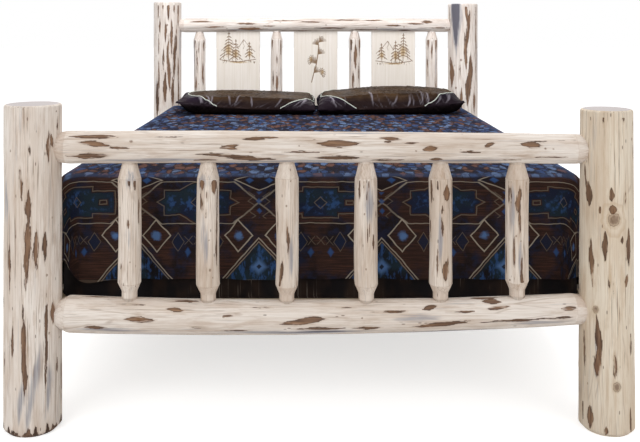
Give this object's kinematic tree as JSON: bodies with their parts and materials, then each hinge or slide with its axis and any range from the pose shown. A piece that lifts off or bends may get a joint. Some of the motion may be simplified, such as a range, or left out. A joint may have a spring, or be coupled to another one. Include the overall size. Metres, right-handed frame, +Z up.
{
  "type": "log bed",
  "caption": "Rustic bed of peeled logs with log spindles, flat headboard panels, slatted deck, mattress set, patterned cover and pillows.",
  "frame": {"origin": "on the floor, under the middle of the bed's outline", "axes": "+Z up, +Y from the footboard towards the headboard, +X to the right as seen from the footboard"},
  "size_m": [1.746, 2.39, 1.215],
  "materials": {
    "log_pine": "satin",
    "board_pine": "satin",
    "steel": "satin",
    "foundation_cloth": "matte",
    "mattress_cloth": "matte",
    "comforter_cloth": "matte",
    "pillow_satin": "satin"
  },
  "bodies": {
    "bed_frame": {"headboard_post_left": "log_pine", "headboard_post_right": "log_pine", "headboard_top_rail": "log_pine", "headboard_bottom_rail": "log_pine", "headboard_spindle_1": "log_pine", "headboard_spindle_2": "log_pine", "headboard_spindle_3": "log_pine", "headboard_spindle_4": "log_pine", "footboard_post_left": "log_pine", "footboard_post_right": "log_pine", "footboard_top_rail": "log_pine", "footboard_bottom_rail": "log_pine", "footboard_spindle_1": "log_pine", "footboard_spindle_2": "log_pine", "footboard_spindle_3": "log_pine", "footboard_spindle_4": "log_pine", "footboard_spindle_5": "log_pine", "footboard_spindle_6": "log_pine", "side_rail_left": "log_pine", "side_rail_right": "log_pine", "centre_leg_front": "log_pine", "centre_leg_rear": "log_pine", "headboard_panel_left": "board_pine", "headboard_panel_centre": "board_pine", "headboard_panel_right": "board_pine", "ledger_left": "board_pine", "ledger_right": "board_pine", "centre_beam": "board_pine", "slat_1": "board_pine", "slat_2": "board_pine", "slat_3": "board_pine", "slat_4": "board_pine", "slat_5": "board_pine", "slat_6": "board_pine", "slat_7": "board_pine", "rail_bolts": "steel", "rail_washers": "steel", "rail_nuts": "steel", "leg_bolts": "steel", "leg_nuts": "steel"},
    "mattress_set": {"foundation": "foundation_cloth", "mattress": "mattress_cloth", "comforter": "comforter_cloth"},
    "pillow_left_body": {"pillow_left": "pillow_satin"},
    "pillow_right_body": {"pillow_right": "pillow_satin"}
  },
  "joints": [
    {"name": "mattress_set_lift", "type": "slide", "parent": "bed_frame", "child": "mattress_set", "axis": [0, 0, 1], "range_m": [0, 0.3]},
    {"name": "pillow_left_lift", "type": "slide", "parent": "mattress_set", "child": "pillow_left_body", "axis": [0, 0, 1], "range_m": [0, 0.3]},
    {"name": "pillow_right_lift", "type": "slide", "parent": "mattress_set", "child": "pillow_right_body", "axis": [0, 0, 1], "range_m": [0, 0.3]}
  ]
}
